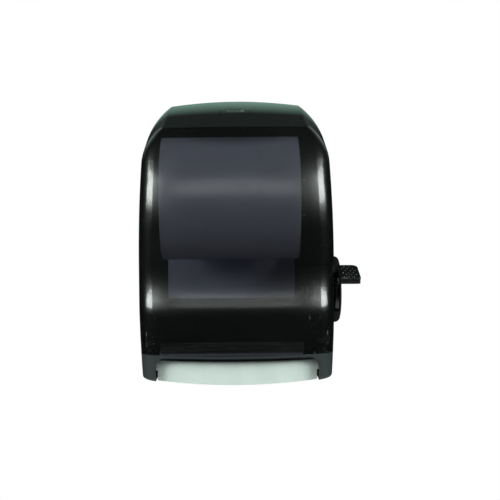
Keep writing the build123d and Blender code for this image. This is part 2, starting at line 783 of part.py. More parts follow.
with BuildPart() as feed_bushes:
    bar(left_plate_x - chassis_plate, left_plate_x, feed_axis, bush_radius,
        feed_shaft_radius + shaft_fit)
    bar(right_plate_x, right_plate_x + chassis_plate, feed_axis, bush_radius,
        feed_shaft_radius + shaft_fit)
finish(feed_bushes, "feed_bushes")

with BuildPart() as lever_bush:
    bar(right_plate_x, right_plate_x + chassis_plate, lever_axis, lever_bush_radius,
        lever_shaft_radius + shaft_fit)
finish(lever_bush, "lever_bush")

# ---- Feed roller ----------------------------------------------------------------------------
with BuildPart() as feed_shaft:
    bar(left_plate_x - 6, ratchet_end_x + 3, feed_axis, feed_shaft_radius)
finish(feed_shaft, "feed_shaft")

with BuildPart() as feed_drum:
    bar(left_plate_x + 6, right_plate_x - 3, feed_axis, feed_drum_radius, feed_shaft_radius)
finish(feed_drum, "feed_drum")


def bands(centre, radius, bore):
    """Three rings side by side, centred on the towel"""
    for k in (-1, 0, 1):
        middle = roll_centre_x + k * band_spacing
        bar(middle - band_width / 2, middle + band_width / 2, centre, radius, bore)


with BuildPart() as feed_sleeves:
    bands(feed_axis, feed_radius, feed_drum_radius)
finish(feed_sleeves, "feed_sleeves")

# ---- Pinch roller, pressed up by two leaf springs --------------------------------------------
with BuildPart() as pinch_rollers:
    bands(pinch_axis, pinch_radius, pinch_shaft_radius)
finish(pinch_rollers, "pinch_rollers")

with BuildPart() as pinch_shaft:
    bar(left_plate_x - chassis_plate - 1, right_plate_x + chassis_plate + 1, pinch_axis,
        pinch_shaft_radius)
finish(pinch_shaft, "pinch_shaft")

with BuildPart() as pinch_springs:
    for x in (left_plate_x + leaf_left_gap, right_plate_x - leaf_end_gap):
        with BuildSketch(side_plane(x)):
            with BuildLine():
                leaf_level = floor_top + leaf_thickness / 2
                Polyline(*((pinch_axis[0] - behind, leaf_level) for behind in leaf_foot),
                         (pinch_axis[0] + leaf_tip,
                          leaf_level + (leaf_foot[1] + leaf_tip) * leaf_slope))
            trace(line_width=leaf_thickness)
        extrude(amount=leaf_width)
finish(pinch_springs, "pinch_springs")


# ---- Gears ----------------------------------------------------------------------------------
def gear_outline(centre, teeth, shift, tip, root, first, count):
    """Corners round some involute teeth, by rising angle, from the angle of the first tooth"""
    pitch_radius = gear_module * teeth / 2
    base = pitch_radius * cos(radians(pressure_angle))
    low = max(base, root)

    def half_angle(radius):
        slant = acos(base / radius)
        pressure = radians(pressure_angle)
        half = (pi / 2 + 2 * shift * tan(pressure)) / teeth - backlash / (4 * pitch_radius)
        return half + tan(pressure) - pressure - (tan(slant) - slant)

    def place(radius, angle):
        return (centre[0] + radius * cos(angle), centre[1] + radius * sin(angle))

    corners = []
    radii = [low + (tip - low) * step / flank_steps for step in range(flank_steps + 1)]
    for k in range(count):
        middle = radians(first + k * 360 / teeth)
        corners.append(place(root, middle - half_angle(low) - 0.001))
        corners += [place(radius, middle - half_angle(radius)) for radius in radii]
        corners += [place(radius, middle + half_angle(radius)) for radius in reversed(radii)]
        corners.append(place(root, middle + half_angle(low) + 0.001))
    return corners


pinion_tip = gear_module * (pinion_teeth / 2 + 1 + profile_shift) - 0.3
pinion_root = gear_module * (pinion_teeth / 2 - 1.25 + profile_shift)
sector_tip = gear_module * (sector_teeth / 2 + 1 - profile_shift)
sector_root = gear_module * (sector_teeth / 2 - 1.25 - profile_shift)
sector_first = -mesh_drop_angle - 1.5 * 360 / sector_teeth
pawl_pivot = (feed_axis[0] + pawl_pivot_radius * cos(radians(pawl_angle)),
              feed_axis[1] + pawl_pivot_radius * sin(radians(pawl_angle)))
pawl_tip = (feed_axis[0] + pawl_tip_radius * cos(radians(pawl_angle + pawl_lead)),
            feed_axis[1] + pawl_tip_radius * sin(radians(pawl_angle + pawl_lead)))

with BuildPart() as drive_pinion:
    with BuildSketch(side_plane(flange_x)):
        with BuildLine():
            Polyline(*gear_outline(feed_axis, pinion_teeth, profile_shift, pinion_tip,
                                   pinion_root, 180 - mesh_drop_angle, pinion_teeth),
                     close=True)
        make_face()
        with Locations(feed_axis):
            Circle(feed_shaft_radius, mode=Mode.SUBTRACT)
    extrude(amount=flange_x - gear_x)
    with BuildSketch(side_plane(flange_x + flange_thickness)):
        with Locations(feed_axis):
            Circle(pinion_tip + 0.6)
        with Locations(pawl_pivot):
            Circle(3.5)
        make_hull()
        with Locations(feed_axis):
            Circle(feed_shaft_radius, mode=Mode.SUBTRACT)
    extrude(amount=flange_thickness)
finish(drive_pinion, "drive_pinion")

with BuildPart() as ratchet_wheel:
    with BuildSketch(side_plane(ratchet_end_x)):
        with BuildLine():
            corners = []
            for k in range(ratchet_teeth):
                angle = radians(pawl_angle + pawl_lead + 3 + k * 360 / ratchet_teeth)
                corners += [(feed_axis[0] + radius * cos(angle),
                             feed_axis[1] + radius * sin(angle))
                            for radius in (ratchet_root, ratchet_tip)]
            Polyline(*corners, close=True)
        make_face()
        with Locations(feed_axis):
            Circle(feed_shaft_radius, mode=Mode.SUBTRACT)
    extrude(amount=ratchet_end_x - ratchet_x)
finish(ratchet_wheel, "ratchet_wheel")

with BuildPart() as drive_pawl:
    with BuildSketch(side_plane(ratchet_end_x - 0.5)):
        with Locations(pawl_pivot):
            Circle(2.6)
        with Locations(pawl_tip):
            Circle(0.5)
        make_hull()
    extrude(amount=ratchet_end_x - 0.5 - ratchet_x)
    bar(flange_x + flange_thickness, ratchet_x, pawl_pivot, 1.5)
finish(drive_pawl, "drive_pawl")

with BuildPart() as sector_gear:
    with BuildSketch(side_plane(gear_end_x)):
        teeth_round = gear_outline(lever_axis, sector_teeth, -profile_shift, sector_tip,
                                   sector_root, sector_first, sector_count)
        with BuildLine():
            Polyline(lever_axis, *teeth_round, close=True)
        make_face()
        with Locations(lever_axis):
            Circle(13)
        with BuildLine():
            CenterArc(lever_axis, 29, sector_first + 12, (sector_count - 1) * 7.5 - 24)
        trace(line_width=12, mode=Mode.SUBTRACT)
        with Locations(lever_axis):
            Circle(lever_shaft_radius, mode=Mode.SUBTRACT)
    extrude(amount=gear_width)
finish(sector_gear, "sector_gear")

# ---- Return spring: a flat spiral round the lever shaft, held by a post on the chassis --------
with BuildPart() as return_spring:
    with BuildSketch(side_plane(spring_end_x)):
        with BuildLine():
            turn = JernArc(start=(lever_axis[0] + spring_inner_radius, lever_axis[1]),
                           tangent=(0, 1), radius=spring_inner_radius, arc_size=180)
            radius = spring_inner_radius
            while radius < spring_outer_radius:
                radius += spring_pitch / 2
                turn = JernArc(start=turn @ 1, tangent=turn % 1, radius=radius, arc_size=180)
        trace(line_width=spring_thickness)
    extrude(amount=spring_width)
finish(return_spring, "return_spring")

# ---- Roller guard, tear blade, guide bar and towel -------------------------------------------
with BuildPart() as roller_guard:
    with BuildSketch(side_plane(right_plate_x)):
        with BuildLine():
            hood = CenterArc(feed_axis, guard_radius, 200, -160)
            run = (tear_depth - (hood @ 1).X) / (hood % 1).X
            slide = Line(hood @ 1, hood @ 1 + (hood % 1) * run)
            Line(slide @ 1, (tear_depth, guard_foot))
        trace(line_width=guard_thickness)
    extrude(amount=right_plate_x - left_plate_x)
finish(roller_guard, "roller_guard")

with BuildPart() as tear_blade:
    with BuildSketch(front_plane(tear_depth + guard_thickness / 2)):
        with BuildLine():
            count = int((right_plate_x - left_plate_x - 8) / tooth_pitch)
            start = (left_plate_x + right_plate_x - count * tooth_pitch) / 2
            edge = [(start, blade_bottom + tooth_depth)]
            for k in range(count):
                edge += [(start + (k + 0.5) * tooth_pitch, blade_bottom),
                         (start + (k + 1) * tooth_pitch, blade_bottom + tooth_depth)]
            Polyline(*edge, (edge[-1][0], blade_bottom + blade_height),
                     (start, blade_bottom + blade_height), close=True)
        make_face()
    extrude(amount=blade_thickness)
finish(tear_blade, "tear_blade")

web_depth = roll_depth - roll_radius - 0.3 - web_thickness / 2
bend_radius = guide_bar_radius + 0.5 + web_thickness / 2
guide_axis = (web_depth + bend_radius, guide_bar_height)

with BuildPart() as guide_bar:
    bar(left_plate_x, right_plate_x, guide_axis, guide_bar_radius)
finish(guide_bar, "guide_bar")

with BuildPart() as paper_web:
    with BuildSketch(side_plane(roll_right)):
        with BuildLine():
            nip = (feed_axis[0], feed_axis[1] - feed_radius - nip_gap / 2)
            drop = Line((web_depth, roll_height), (web_depth, guide_axis[1]))
            lead = (nip[0] - guide_axis[0], nip[1] - guide_axis[1])
            climb = atan2(lead[1], lead[0]) + asin(bend_radius / hypot(*lead))
            bend = JernArc(start=drop @ 1, tangent=(0, -1), radius=bend_radius,
                           arc_size=90 + degrees(climb))
            Line(bend @ 1, nip)
            leave = JernArc(start=nip, tangent=(1, 0), radius=pinch_radius + nip_gap / 2,
                            arc_size=-web_leaving_angle)
            Polyline(leave @ 1, *web_bends)
        trace(line_width=web_thickness)
    extrude(amount=roll_width)
finish(paper_web, "paper_web")

# ---- Chute: slides the towel out past the apron in the opening --------------------------------
with BuildPart() as chute_sweep:
    with BuildSketch(bow_plane):
        with BuildLine():
            slide = Line((slide_rear_depth + bow_axis_y, slide_rear_height),
                         (slide_front_depth + bow_axis_y, slide_front_height))
            lip_end = (apron_depth + bow_axis_y, apron_height - 8)
            turn = TangentArc(slide @ 1, lip_end, tangent=slide % 1)
            Line(turn @ 1, (turn @ 1) + (turn % 1) * 40)
        trace(line_width=chute_thickness)
    revolve(axis=bow_axis)
    add(outer_form.part, mode=Mode.INTERSECT)

with BuildPart() as paper_chute:
    add(chute_sweep.part)
    with BuildSketch(front_plane(0)):
        with Locations((0, apron_ear_height)):
            Rectangle(2 * apron_half_width, 2 * height)
        with Locations((0, apron_ear_height + height / 2)):
            Rectangle(2 * apron_ear_half_width, height)
    extrude(amount=2 * depth, mode=Mode.INTERSECT)
    block(right_plate_x - 1, rear_width, 0, plate_front_depth + 1, 0, height,
          mode=Mode.SUBTRACT)
    block(-rear_width, left_plate_x + 1, 0, plate_front_depth + 1, 0, height,
          mode=Mode.SUBTRACT)
    with BuildSketch(top_plane(floor_top)):
        with Locations(*chute_screws):
            Circle(chute_boss_radius)
    extrude(amount=slide_rear_height - floor_top - 2)
    with BuildSketch(top_plane(floor_top)):
        with Locations(*chute_screws):
            Circle(screw_core_radius)
    extrude(amount=2, mode=Mode.SUBTRACT)
finish(paper_chute, "paper_chute")

# ---- Side panel flush with the cover, and the lever's housing on it --------------------------
with BuildPart() as side_fairing:
    extrude(housing_outline(rear_width / 2 + 1, 0), amount=front_width / 8)
    add(casing_shell.part, mode=Mode.INTERSECT)
    block(0, rear_width, 0, depth, 0, height, mode=Mode.INTERSECT)
    with BuildSketch(side_plane(rear_width / 2)):
        with Locations(lever_axis):
            Circle(boss_radius)
    extrude(amount=rear_width / 2 - boss_x)
    with BuildSketch(side_plane(rear_width / 2)):
        with Locations(*fairing_posts):
            Circle(post_radius)
    extrude(amount=rear_width / 2 - right_plate_x - chassis_plate)
    add(outer_form.part, mode=Mode.INTERSECT)
    bar(boss_x, rear_width / 2, lever_axis, lever_shaft_radius + shaft_fit,
        mode=Mode.SUBTRACT)
finish(side_fairing, "side_fairing")

with BuildPart() as cap_hollow:
    bar(boss_x, housing_x - housing_wall, lever_axis, housing_radius - 1.6 * housing_wall)
    with BuildSketch(side_plane(lever_arm_x + lever_arm_thickness + 0.6)):
        with BuildLine():
            reach = 2 * housing_radius
            Polyline(lever_axis,
                     (lever_axis[0] + reach * cos(radians(slot_low)),
                      lever_axis[1] + reach * sin(radians(slot_low))),
                     (lever_axis[0] + reach * cos(radians(slot_high)),
                      lever_axis[1] + reach * sin(radians(slot_high))), close=True)
        make_face()
    extrude(amount=housing_radius)

with BuildPart() as lever_cap:
    with BuildSketch(Plane(origin=(0, -lever_axis_depth, up(lever_axis_height)),
                           x_dir=(1, 0, 0), z_dir=(0, -1, 0))):
        with BuildLine():
            near = housing_edge_radius / 2
            slight = near * tan(radians(15))
            Polyline((boss_x, 0), (housing_x, 0),
                     (housing_x, housing_radius - housing_edge_radius),
                     (housing_x - slight, housing_radius - near),
                     (housing_x - near, housing_radius - slight),
                     (housing_x - housing_edge_radius, housing_radius),
                     (boss_x, housing_radius), close=True)
        make_face()
    revolve(axis=Axis((0, -lever_axis_depth, up(lever_axis_height)), (1, 0, 0)))
    add(cap_hollow.part, mode=Mode.SUBTRACT)
    add(outer_form.part, mode=Mode.SUBTRACT)
finish(lever_cap, "lever_cap")

# ---- Lever with its finger pad, its shaft and the screw that holds it -------------------------
with BuildPart() as lever:
    bar(lever_arm_x - 1, lever_arm_x + lever_arm_thickness, lever_axis, lever_hub_radius)
    with BuildSketch(side_plane(lever_arm_x + lever_arm_thickness)):
        with Locations(lever_axis):
            Circle(lever_hub_radius)
        with Locations(lever_elbow):
            Circle(7)
        make_hull()
    extrude(amount=lever_arm_thickness)
    for low, high, inset in pad_layers:
        with BuildSketch(Plane(origin=(0, -pad_depth, up(pad_height)), x_dir=(1, 0, 0),
                               z_dir=(0, -sin(radians(pad_slope)), cos(radians(pad_slope))))
                         .offset(low)) as layer:
            with Locations(((lever_arm_x + pad_outer_x) / 2, 0)):
                Rectangle(pad_outer_x - lever_arm_x - 2 * inset, pad_length - 2 * inset)
            rear_corners = layer.vertices().group_by(Axis.Y)[-1].sort_by(Axis.X)
            fillet(rear_corners[-1:], radius=9 - inset)
            front_corners = layer.vertices().group_by(Axis.Y)[0].sort_by(Axis.X)
            fillet(front_corners[-1:], radius=3 - inset)
        extrude(amount=high - low)
    bar(lever_arm_x - 1, shaft_end_x, lever_axis, lever_shaft_radius, mode=Mode.SUBTRACT)
    bar(shaft_end_x, lever_arm_x + lever_arm_thickness, lever_axis, screw_core_radius,
        mode=Mode.SUBTRACT)
    bar(screw_seat_x, lever_arm_x + lever_arm_thickness, lever_axis, screw_head_radius + 1,
        mode=Mode.SUBTRACT)
finish(lever, "lever")

with BuildPart() as lever_shaft:
    bar(right_plate_x - 0.5, shaft_end_x, lever_axis, lever_shaft_radius)
    bar(shaft_end_x - 10, shaft_end_x, lever_axis, screw_core_radius, mode=Mode.SUBTRACT)
finish(lever_shaft, "lever_shaft")

with BuildPart() as lever_screw:
    bar(shaft_end_x - 10, screw_seat_x, lever_axis, screw_core_radius)
    bar(screw_seat_x, lever_arm_x + lever_arm_thickness, lever_axis, screw_head_radius + 1)
finish(lever_screw, "lever_screw")
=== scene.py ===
import json
import math

import bmesh
import bpy
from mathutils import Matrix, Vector, geometry


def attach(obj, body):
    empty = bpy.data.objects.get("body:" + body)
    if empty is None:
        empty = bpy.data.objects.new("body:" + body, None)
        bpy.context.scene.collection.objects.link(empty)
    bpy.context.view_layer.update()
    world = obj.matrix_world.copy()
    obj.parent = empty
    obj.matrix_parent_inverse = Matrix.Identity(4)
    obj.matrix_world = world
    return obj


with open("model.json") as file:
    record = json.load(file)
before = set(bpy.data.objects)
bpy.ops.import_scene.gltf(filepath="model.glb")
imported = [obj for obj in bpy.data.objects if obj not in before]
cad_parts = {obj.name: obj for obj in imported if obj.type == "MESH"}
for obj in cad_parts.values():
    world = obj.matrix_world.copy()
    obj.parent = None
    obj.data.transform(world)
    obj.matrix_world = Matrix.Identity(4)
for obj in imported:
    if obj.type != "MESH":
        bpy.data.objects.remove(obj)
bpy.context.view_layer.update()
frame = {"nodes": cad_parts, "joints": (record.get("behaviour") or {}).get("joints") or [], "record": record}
nodes = frame["nodes"]
joint_places = {joint["name"]: Vector(joint["pos_m"]) for joint in frame["joints"]}

# ---- Units and places ----------------------------------------------------------------------
# The object's places are in millimetres: X, depth from the wall, height above the lowest edge.
# Camera, lamps and floor are in metres in the frame.
MM = 0.001
SCREW_CENTRE = 230.0                   # height of the frame's origin, amid the wall screws


def place(x, depth, height):
    return Vector((x * MM, -depth * MM, (height - SCREW_CENTRE) * MM))


# ---- Camera --------------------------------------------------------------------------------
PHOTO_FOCUS = 985.0 / 500.0            # focal length over the picture's width
SENSOR_WIDTH = 36.0
CAMERA_PLACE = (0.0018, -1.6, 0.030)
CAMERA_ROLL = 0.55                     # degrees
CAMERA_SHIFT = (0.026, -0.1)           # shares of the picture's width
CAMERA_CLIP = (0.05, 50.0)

bpy.context.scene.view_settings.view_transform = "Standard"
camera = bpy.data.objects.new("camera", bpy.data.cameras.new("camera"))
bpy.context.scene.collection.objects.link(camera)
bpy.context.scene.camera = camera
camera.data.sensor_width = SENSOR_WIDTH
camera.data.lens = SENSOR_WIDTH * PHOTO_FOCUS
camera.data.shift_x, camera.data.shift_y = CAMERA_SHIFT
camera.data.clip_start, camera.data.clip_end = CAMERA_CLIP
camera.location = CAMERA_PLACE
camera.rotation_euler = (math.radians(90.0), math.radians(CAMERA_ROLL), 0.0)


# ---- Node helpers --------------------------------------------------------------------------
NOISE_SPAN = (0.3, 0.7)                # where most of a noise's values lie


class Nodes:
    """A material or world tree with a short way to add linked nodes."""

    def __init__(self, tree):
        self.tree = tree
        tree.nodes.clear()

    def add(self, kind, values=None, **settings):
        node = self.tree.nodes.new(kind)
        for name, value in settings.items():
            setattr(node, name, value)
        for name, value in (values or {}).items():
            socket = node.inputs[name]
            if isinstance(value, bpy.types.NodeSocket):
                self.tree.links.new(value, socket)
            else:
                socket.default_value = value
        return node

    def math(self, operation, a, b=0.0, clamp=False):
        node = self.add("ShaderNodeMath", {0: a, 1: b}, operation=operation)
        node.use_clamp = clamp
        return node.outputs[0]

    def times(self, *factors):
        """The product of two or more values."""
        product = factors[0]
        for factor in factors[1:]:
            product = self.math("MULTIPLY", product, factor)
        return product

    def spread(self, value, low, high, start=0.0, end=1.0):
        """low where value is start or less, high where it is end or more, and even between."""
        return self.add("ShaderNodeMapRange", {
            "Value": value, "From Min": start, "From Max": end,
            "To Min": low, "To Max": high}).outputs["Result"]

    def noise(self, where, scale, detail=3.0, rough=0.55):
        return self.add("ShaderNodeTexNoise", {
            "Vector": where, "Scale": scale, "Detail": detail,
            "Roughness": rough}).outputs["Fac"]

    def cells(self, where, scale):
        return self.add("ShaderNodeTexVoronoi", {
            "Vector": where, "Scale": scale}).outputs["Distance"]

    def moved(self, where, factors, move=(0.0, 0.0, 0.0)):
        """where times the factors, plus the move."""
        return self.add("ShaderNodeMapping", {
            "Vector": where, "Scale": factors, "Location": move}).outputs["Vector"]

    def two_tone(self, factor, low, high):
        """Between two colours; each is three numbers or a socket."""
        low, high = (c if isinstance(c, bpy.types.NodeSocket) else (*c, 1.0) for c in (low, high))
        return self.add("ShaderNodeMix", {
            "Factor": factor, 6: low, 7: high}, data_type="RGBA").outputs[2]

    def between(self, factor, low, high):
        """Between two numbers."""
        return self.add("ShaderNodeMix", {"Factor": factor, 2: low, 3: high}).outputs[0]

    def bump(self, height, distance):
        return self.add("ShaderNodeBump", {
            "Height": height, "Distance": distance}).outputs["Normal"]


def linear(red, green, blue):
    """A colour from 0 to 255 as the shader's linear numbers."""
    out = []
    for part in (red, green, blue):
        c = part / 255.0
        out.append(c / 12.92 if c <= 0.04045 else ((c + 0.055) / 1.055) ** 2.4)
    return tuple(out)


def scaled(colour, factor):
    return tuple(min(1.0, c * factor) for c in colour)


def finish_material(name, surface, plain, **constants):
    """A Principled surface. surface(n, where) gives its linked inputs."""
    material = bpy.data.materials.new(name)
    material.use_nodes = True
    n = Nodes(material.node_tree)
    where = n.add("ShaderNodeTexCoord").outputs["Object"]
    shader = n.add("ShaderNodeBsdfPrincipled")
    for socket, value in constants.items():
        shader.inputs[socket.replace("_", " ")].default_value = value
    for socket, value in surface(n, where).items():
        n.tree.links.new(value, shader.inputs[socket])
    out = n.add("ShaderNodeOutputMaterial")
    n.tree.links.new(shader.outputs[0], out.inputs["Surface"])
    material.diffuse_color = (*plain, 1.0)
    return material


# ---- Moulded plastics and steel ------------------------------------------------------------
CLOUDING = 0.12                        # share that a moulded colour varies by
POLISH = 0.05                          # roughness that handling adds or takes
STEEL_STAIN = 0.85                     # colour where it is darkest
STEEL_SMOOTHER, STEEL_ROUGHER = 0.08, 0.10


def moulded(name, colour, rough, grain=1100.0, depth=0.00003, **constants):
    """Moulded plastic: fine spark-eroded grain, faint clouding and handled, polished areas."""
    def surface(n, where):
        cloudy = n.noise(where, scale=22.0, detail=4.0)
        handled = n.noise(where, scale=9.0, detail=5.0, rough=0.6)
        fine = n.noise(where, scale=grain, detail=2.0, rough=0.6)
        return {
            "Base Color": n.two_tone(
                cloudy, scaled(colour, 1.0 - CLOUDING), scaled(colour, 1.0 + CLOUDING)),
            "Roughness": n.spread(handled, rough - POLISH, rough + POLISH, *NOISE_SPAN),
            "Normal": n.bump(fine, depth),
        }
    return finish_material(name, surface, colour, **constants)


def metal(name, colour, rough, along=(12.0, 900.0, 900.0)):
    """Drawn steel with fine lines along its length."""
    def surface(n, where):
        lines = n.noise(n.moved(where, along), scale=1.0)
        stain = n.noise(where, scale=30.0, detail=4.0)
        return {
            "Base Color": n.two_tone(stain, scaled(colour, STEEL_STAIN), colour),
            "Roughness": n.spread(lines, rough - STEEL_SMOOTHER, rough + STEEL_ROUGHER, *NOISE_SPAN),
            "Normal": n.bump(lines, 0.00002),
        }
    return finish_material(name, surface, colour, Metallic=1.0)


side = moulded("side_plastic", linear(16, 19, 20), 0.30, IOR=1.5)
band = moulded("band_plastic", linear(34, 40, 42), 0.50, IOR=1.4)
lever_black = moulded("lever_plastic", linear(11, 14, 13), 0.30, IOR=1.5)
framework = moulded("frame_plastic", linear(12, 14, 15), 0.75, IOR=1.25)
wall_plate = moulded("wall_plate_plastic", linear(12, 14, 14), 0.85, IOR=1.2)
pad_black = moulded("pad_plastic", linear(13, 17, 16), 0.26, IOR=1.5)
gears = moulded("gear_plastic", linear(22, 23, 24), 0.5, IOR=1.4)
# Painted shade: a dark strip where the gap between the cover and the wall lies in shade.
gap_shade = moulded("gap_shade_strip", linear(10, 12, 12), 0.9, grain=500.0, depth=0.0001, IOR=1.15)
steel = metal("steel", linear(196, 198, 200), 0.30)
spring_steel = metal("spring_steel", linear(150, 152, 156), 0.34, (300.0, 300.0, 300.0))

# ---- Smoked cover: clear seen face on, closed seen along it, with painted light at the roof's rear ---
SMOKE = linear(3, 5, 5)
SMOKE_CLOUDING = 0.1
SMOKE_ROUGH = (0.22, 0.30)
FACE_ON_OPACITY = 0.50
TURN_START, TURN_END = 0.28, 0.72      # Layer Weight's Facing where it starts to close, and is closed
# Painted light: the roof's rear is painted a paler green-grey where light shines through the roof.
PAINTED_ROOF_LIGHT = linear(156, 196, 181)
ROOF_LIGHT_START = place(0.0, 100.0, 350.0)  # no painted light in front of or below this
ROOF_LIGHT_FULL = place(0.0, 12.0, 395.0)
ROOF_LIGHT_CURVE = 1.3
ROOF_LIGHT_PATCHES = (0.8, 1.0)


def smoked_surface(n, where):
    cloudy = n.noise(where, scale=14.0, detail=4.0)
    handled = n.noise(where, scale=7.0, detail=5.0, rough=0.6)
    fine = n.noise(where, scale=900.0, detail=2.0, rough=0.6)
    facing = n.add("ShaderNodeLayerWeight", {"Blend": 0.5}).outputs["Facing"]
    split = n.add("ShaderNodeSeparateXYZ", {0: where})
    towards_wall = n.spread(split.outputs["Y"], 0.0, 1.0, ROOF_LIGHT_START.y, ROOF_LIGHT_FULL.y)
    upwards = n.spread(split.outputs["Z"], 0.0, 1.0, ROOF_LIGHT_START.z, ROOF_LIGHT_FULL.z)
    # painted light on the roof's rear, patchy with the clouding
    painted_roof_light = n.times(n.math("POWER", n.times(towards_wall, upwards), ROOF_LIGHT_CURVE),
                      n.spread(cloudy, *ROOF_LIGHT_PATCHES))
    clear = n.two_tone(cloudy, scaled(SMOKE, 1.0 - SMOKE_CLOUDING),
                       scaled(SMOKE, 1.0 + SMOKE_CLOUDING))
    return {
        "Base Color": n.two_tone(painted_roof_light, clear, PAINTED_ROOF_LIGHT),
        "Roughness": n.spread(handled, *SMOKE_ROUGH, *NOISE_SPAN),
        "Normal": n.bump(fine, 0.00002),
        "Alpha": n.spread(facing, FACE_ON_OPACITY, 1.0, TURN_START, TURN_END),
    }


smoked = finish_material("smoked_plastic", smoked_surface, SMOKE, IOR=1.5,
                         Coat_Weight=1.0, Coat_Roughness=0.20, Coat_IOR=1.55)

# ---- Apron: embossed pale plastic in front of the opening's lip, with painted shade behind it ----
BOW_AXIS = 195.0                       # upright line behind the wall that the front is bowed about
LIP_DEPTH = 215.9                      # at the middle of the bow
LIP_BLEND = 1.0                        # width of the change from dark to pale


def apron_surface(n, where):
    grain = n.noise(where, scale=260.0, detail=4.0, rough=0.65)
    cloudy = n.noise(where, scale=45.0, detail=4.0)
    flat = n.moved(where, (1.0, 1.0, 0.0), (0.0, -BOW_AXIS * MM, 0.0))
    radius = n.add("ShaderNodeVectorMath", {0: flat}, operation="LENGTH").outputs["Value"]
    lip = BOW_AXIS + LIP_DEPTH
    # Painted shade: darker behind the lip, where the opening's rim shades the apron.
    shaded_behind_lip = n.spread(radius, 1.0, 0.0, (lip - LIP_BLEND) * MM, lip * MM)
    pale = n.two_tone(cloudy, linear(178, 192, 186), linear(196, 206, 202))
    return {
        "Base Color": n.two_tone(shaded_behind_lip, pale, linear(30, 34, 35)),
        "Roughness": n.spread(grain, 0.42, 0.58, *NOISE_SPAN),
        "Normal": n.bump(n.math("ADD", n.cells(where, scale=420.0), grain), 0.00018),
    }


apron = finish_material("apron_plastic", apron_surface, linear(219, 234, 227), IOR=1.5)


# ---- Rubber, paper and board ---------------------------------------------------------------
def rubber_surface(n, where):
    ring = n.add("ShaderNodeTexWave", {
        "Vector": where, "Scale": 90.0, "Distortion": 0.4}, bands_direction="X").outputs["Fac"]
    fine = n.noise(where, scale=900.0)
    return {
        "Base Color": n.two_tone(fine, linear(30, 30, 31), linear(48, 48, 49)),
        "Roughness": n.spread(fine, 0.62, 0.82, *NOISE_SPAN),
        "Normal": n.bump(n.math("ADD", ring, fine), 0.00025),
    }


def paper_surface(n, where):
    """Creped towel, with the wound layers as rings on the roll's ends."""
    fibre = n.noise(n.moved(where, (700.0, 2400.0, 2400.0)), scale=1.0)
    roll_axis = joint_places["roll_spin"]
    about_roll = n.moved(where, (1.0, 1.0, 1.0), (0.0, -roll_axis.y, -roll_axis.z))
    layers = n.add("ShaderNodeTexWave", {
        "Vector": about_roll, "Scale": 420.0, "Distortion": 1.2, "Detail": 2.0},
        wave_type="RINGS", rings_direction="X").outputs["Fac"]
    crepe = n.math("ADD", n.times(n.cells(where, scale=330.0), 0.8), fibre)
    return {
        "Base Color": n.two_tone(fibre, linear(212, 215, 246), linear(222, 225, 252)),
        "Roughness": n.spread(fibre, 0.82, 0.95, *NOISE_SPAN),
        "Normal": n.bump(n.math("ADD", crepe, n.times(layers, 0.6)), 0.00018),
    }


def board_surface(n, where):
    fibre = n.noise(n.moved(where, (260.0, 900.0, 900.0)), scale=1.0, detail=4.0)
    return {
        "Base Color": n.two_tone(fibre, linear(150, 118, 82), linear(176, 142, 102)),
        "Roughness": n.spread(fibre, 0.8, 0.95, *NOISE_SPAN),
        "Normal": n.bump(fibre, 0.0001),
    }


rubber = finish_material("grip_rubber", rubber_surface, linear(38, 38, 39))
paper = finish_material("towel_paper", paper_surface, linear(236, 236, 242))
board = finish_material("core_board", board_surface, linear(164, 132, 94))

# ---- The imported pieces' finishes -----------------------------------------------------------
BY_SLOT = {
    "smoked_plastic": smoked, "side_plastic": side, "band_plastic": band,
    "lever_plastic": lever_black, "apron_plastic": apron, "frame_plastic": framework,
    "gear_plastic": gears, "steel": steel, "spring_steel": spring_steel,
    "grip_rubber": rubber, "towel_paper": paper, "core_board": board,
}
BY_NODE = {"back_plate": wall_plate, "lever_cap": framework}  # these come before the slot's finish
for part in frame["record"]["subparts"]:
    node = nodes[part["node"]]
    if not node.material_slots:
        node.data.materials.append(None)
    for slot in node.material_slots:
        slot.material = BY_NODE.get(part["node"], BY_SLOT[part["material_slot"]])


# ---- Mesh helpers --------------------------------------------------------------------------
def circle(count):
    """The cosine and sine of each corner of a regular polygon."""
    turns = [2 * math.pi * step / count for step in range(count)]
    return [(math.cos(turn), math.sin(turn)) for turn in turns]


def tube(rings, tip=None):
    """Points and faces through equal rings of points, closed by a flat end or at a tip."""
    size = len(rings[0])
    points = [point for ring in rings for point in ring]
    faces = [tuple(reversed(range(size)))]
    for first in range(0, len(points) - size, size):
        for k in range(size):
            a, b = first + k, first + (k + 1) % size
            faces.append((a, b, b + size, a + size))
    last = range(len(points) - size, len(points))
    if tip is None:
        faces.append(tuple(last))
    else:
        faces += [(last[k], last[(k + 1) % size], len(points)) for k in range(size)]
        points.append(tip)
    return points, faces


def tube_object(name, tubes, material, body, smooth=False):
    """One object made of closed tubes, which moves with a CAD body."""
    points, faces = [], []
    for tube_points, tube_faces in tubes:
        first = len(points)
        points += [tuple(point) for point in tube_points]
        faces += [tuple(first + k for k in face) for face in tube_faces]
    mesh = bpy.data.meshes.new(name)
    mesh.from_pydata(points, [], faces)
    form = bmesh.new()
    form.from_mesh(mesh)
    bmesh.ops.recalc_face_normals(form, faces=form.faces)
    form.to_mesh(mesh)
    form.free()
    mesh.polygons.foreach_set("use_smooth", [smooth] * len(mesh.polygons))
    mesh.materials.append(material)
    piece = bpy.data.objects.new(name, mesh)
    bpy.context.scene.collection.objects.link(piece)
    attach(piece, body)


